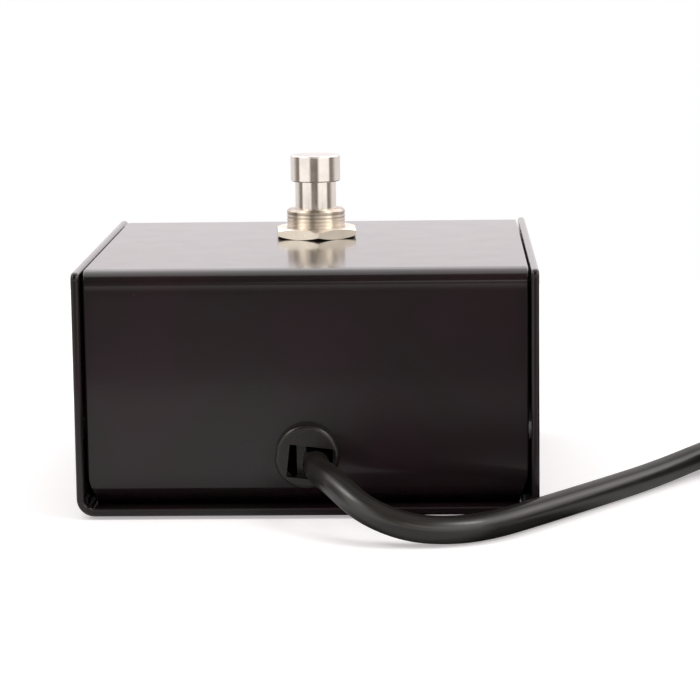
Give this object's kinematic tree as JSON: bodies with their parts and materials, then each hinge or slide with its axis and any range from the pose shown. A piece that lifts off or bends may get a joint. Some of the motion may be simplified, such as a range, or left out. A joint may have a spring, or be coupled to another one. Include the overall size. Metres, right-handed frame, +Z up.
{
  "type": "tap tempo foot switch",
  "caption": "Low square sheet-metal foot switch with a round momentary push switch on top and a long cord, coiled beside it, that ends in a jack plug.",
  "frame": {"origin": "on the floor, under the middle of the case", "axes": "+Z up along the plunger; -Y towards the rear panel, where the cord leaves; +Y towards the front panel; +X to the right of someone who faces the rear panel"},
  "size_m": [0.22, 0.1453, 0.0642],
  "materials": {
    "powder_coat": "semi-gloss black powder coat",
    "pad_rubber": "matt black rubber",
    "screw_steel": "black-zinc-plated steel",
    "bushing_plate": "nickel-plated brass",
    "nut_plate": "warm nickel plate",
    "cap_plate": "polished nickel plate",
    "spring_steel": "bright spring steel",
    "frame_zinc": "zinc-plated steel",
    "switch_moulding": "brown phenolic moulding",
    "pusher_nylon": "natural nylon",
    "terminal_brass": "bright brass",
    "contact_silver": "silver",
    "relief_nylon": "black moulded nylon",
    "cord_jacket": "satin black cord jacket",
    "sleeve_black": "black shrink sleeve",
    "wire_red": "red wire insulation",
    "wire_white": "white wire insulation",
    "solder": "bright solder",
    "tie_fabric": "black hook-and-loop strap",
    "plug_moulding": "black moulded plug handle",
    "plug_metal": "polished nickel plate",
    "plug_insulation": "black insulation"
  },
  "bodies": {
    "case": {"base_tray": "powder_coat", "top_cover": "powder_coat", "foot_pads": "pad_rubber", "cover_screws": "screw_steel", "captive_nuts": "screw_steel", "switch_bushing": "bushing_plate", "panel_nut": "nut_plate", "lock_washer": "nut_plate", "jam_nut": "nut_plate", "return_spring": "spring_steel", "switch_frame": "frame_zinc", "switch_case": "switch_moulding", "switch_base": "switch_moulding", "terminal_common": "terminal_brass", "terminal_make": "terminal_brass", "contact_studs": "contact_silver", "strain_relief": "relief_nylon", "strain_relief_wedge": "relief_nylon", "cord_inner": "cord_jacket", "cord_lead": "cord_jacket", "cord_coil": "cord_jacket", "cord_tail": "cord_jacket", "shrink_sleeve": "sleeve_black", "signal_wire": "wire_red", "return_wire": "wire_white", "solder_joints": "solder", "coil_ties": "tie_fabric", "plug_handle": "plug_moulding", "plug_sleeve": "plug_metal", "plug_tip": "plug_metal", "plug_insulator": "plug_insulation"},
    "plunger": {"plunger": "cap_plate", "plunger_clip": "spring_steel", "pusher": "pusher_nylon", "contact_spring": "spring_steel"},
    "contact_bridge": {"moving_contact": "terminal_brass", "contact_buttons": "contact_silver"}
  },
  "joints": [
    {"name": "plunger_press", "type": "slide", "parent": "case", "child": "plunger", "axis": [0, 0, -1], "range_m": [0, 0.003], "stiffness_N_per_m": 1500, "springref_m": -0.0027, "deforming": ["return_spring"]},
    {"name": "contact_lag", "type": "slide", "parent": "plunger", "child": "contact_bridge", "axis": [0, 0, 1], "range_m": [0, 0.0006], "deforming": ["contact_spring"]}
  ],
  "couplings": [
    {"joint": "contact_lag", "follows": "plunger_press", "ratio": 0.2}
  ]
}
